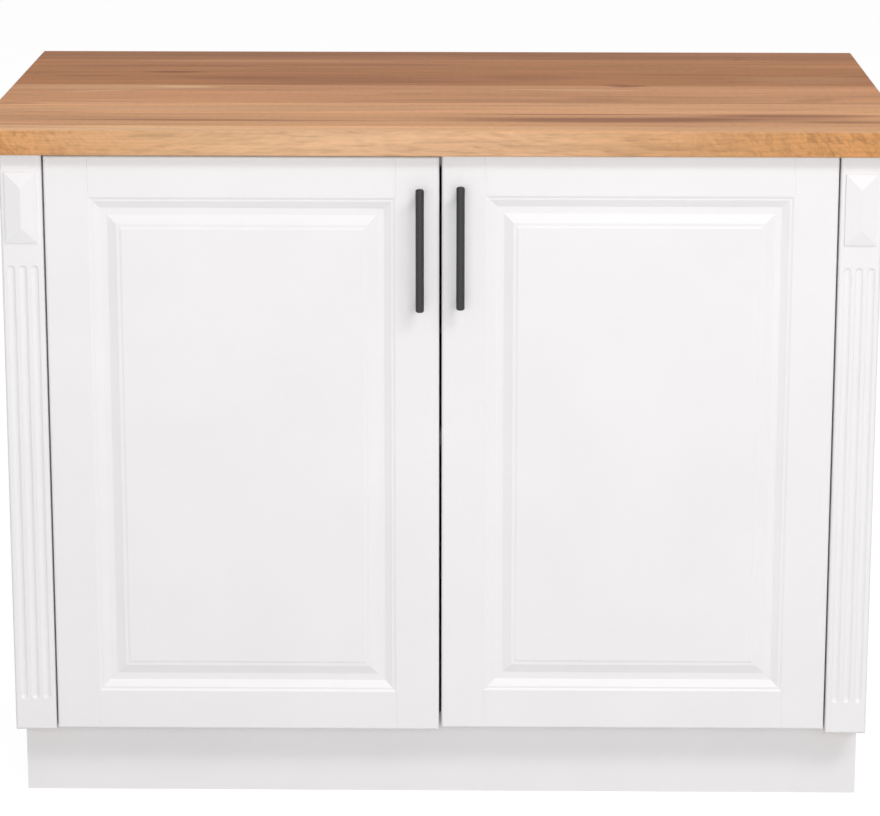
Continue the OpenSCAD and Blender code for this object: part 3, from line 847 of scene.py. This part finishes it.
def stemThread(look, height, core):
    # a tapered tooth drawn up the stem by the Screw modifier
    bpy.ops.object.select_all(action="DESELECT")
    bpy.ops.mesh.primitive_plane_add(size=1, location=(0, 0, 0))
    thread = bpy.context.object
    bpy.ops.object.mode_set(mode="EDIT")
    bpy.ops.mesh.delete(type="ONLY_FACE")
    shape = bmesh.from_edit_mesh(thread.data)
    for corner in shape.verts:
        outer, upper = corner.co.x > 0, corner.co.y > 0
        out = look["stem"] if outer else core - look["threadSunk"]
        half = look["pitch"] * (look["toothTip"] if outer else look["toothRoot"])
        up = look["coneTop"] + look["threadStart"] + (half if upper else -half)
        corner.co = (out, 0, up)
    bmesh.update_edit_mesh(thread.data)
    bpy.ops.object.mode_set(mode="OBJECT")
    screw = thread.modifiers.new("thread", "SCREW")
    screw.axis = "Z"
    screw.screw_offset = look["pitch"]
    screw.iterations = int((height - look["coneTop"] - look["threadMargin"]) / look["pitch"])
    screw.steps = look["threadSteps"]
    screw.render_steps = look["threadSteps"]
    bpy.ops.object.modifier_apply(modifier=screw.name)
    # its two open ends are closed
    bpy.ops.object.mode_set(mode="EDIT")
    bpy.ops.mesh.select_mode(type="EDGE")
    bpy.ops.mesh.select_all(action="DESELECT")
    bpy.ops.mesh.select_non_manifold()
    bpy.ops.mesh.edge_face_add()
    bpy.ops.mesh.select_all(action="SELECT")
    bpy.ops.mesh.normals_make_consistent(inside=False)
    bpy.ops.object.mode_set(mode="OBJECT")
    return thread


def threadedFoot(look, height):
    core = look["stem"] - look["threadDepth"]
    foot = footDisc(look, height, core)
    carve(foot, scallopCutter(look))
    thread = stemThread(look, height, core)
    activate(foot)
    thread.select_set(True)
    bpy.ops.object.join()
    bpy.ops.object.shade_smooth_by_angle(angle=smoothAngle)
    return foot


def fitFeet(look):
    low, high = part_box("front_left_foot")
    model = threadedFoot(look, high.z - low.z)
    for leg in legNames:
        name = leg + "_foot"
        spot = middleOf(name)
        spot.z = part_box(name)[0].z
        place = Matrix.Translation(spot)
        foot = copiesOf(model, name + "_threaded", name, "leg_plastic", [place])
        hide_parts(name)
    bpy.data.objects.remove(model)


fitFeet(footShape)
print("levelling feet fitted")


# Floor, backdrop and lights

studio = {
    "floorSize": 40.0,
    "floorBounce": "#c7c7c7",  # the floor's colour to the light that bounces off it
    "floorShown": "#f9f9f9",  # its colour to the camera and in reflections
    "floorRoughness": 0.9,
    "floorGlow": (0.75, 1.15),  # share and strength of the plain white laid over it for them
    "worldLevel": 0.45,
    # place, width and height of each soft box; level 1 lights a facing surface to its own colour
    "boxes": {
        "keyLight": ((1.74, -3.56, 3.66), (2.2, 0.9), 0.26),
        "fillLight": ((0.12, -4.59, 1.47), (3.2, 1.2), 0.31),
        "rearLight": ((0.0, 3.0, 4.0), (3.0, 2.0), 0.17),
    },
    "aim": (0.0, 0.0, 0.45),
}


def seenDirectly(tree):
    # 1 for rays from the camera and for reflections, 0 for bounced light
    rays = addNode(tree, "ShaderNodeLightPath").outputs
    return mathOf(tree, "MAXIMUM", rays["Is Camera Ray"], rays["Is Glossy Ray"])


def layFloor(look):
    bpy.ops.mesh.primitive_plane_add(size=look["floorSize"], location=(0, 0, 0))
    floor = bpy.context.object
    floor.name = "floor"
    material, tree, shader = newMaterial("pale_floor", {"Roughness": look["floorRoughness"]})
    seen = seenDirectly(tree)
    bounce, shown = asColour(look["floorBounce"]), asColour(look["floorShown"])
    feed(tree, shader, {"Base Color": blend(tree, seen, bounce, shown)})
    share, strength = look["floorGlow"]
    white = addNode(tree, "ShaderNodeEmission", {"Color": asColour(1.0), "Strength": strength})
    mixed = addNode(tree, "ShaderNodeMixShader", {
        0: mathOf(tree, "MULTIPLY", seen, share), 1: shader.outputs[0], 2: white.outputs[0],
    })
    tree.links.new(mixed.outputs[0], tree.nodes["Material Output"].inputs["Surface"])
    floor.data.materials.append(material)


def lightWorld(look):
    world = bpy.data.worlds.new("studio")
    bpy.context.scene.world = world
    world.use_nodes = True
    tree = world.node_tree
    backdrop = tree.nodes["Background"]
    backdrop.inputs["Color"].default_value = asColour(1.0)
    feed(tree, backdrop, {"Strength": rangeOf(tree, seenDirectly(tree), look["worldLevel"], 1.0)})


def placeBoxes(look):
    for name, (spot, (width, height), level) in look["boxes"].items():
        aim = Vector(look["aim"]) - Vector(spot)
        turn = aim.to_track_quat("-Z", "Y").to_euler()
        bpy.ops.object.light_add(type="AREA", location=spot, rotation=turn)
        light = bpy.context.object
        light.name = name
        light.data.shape = "RECTANGLE"
        light.data.size = width
        light.data.size_y = height
        light.data.energy = level * math.pi ** 2 * aim.length ** 2


layFloor(studio)
lightWorld(studio)
placeBoxes(studio)
bpy.context.scene.view_settings.view_transform = "Standard"
print("studio made")
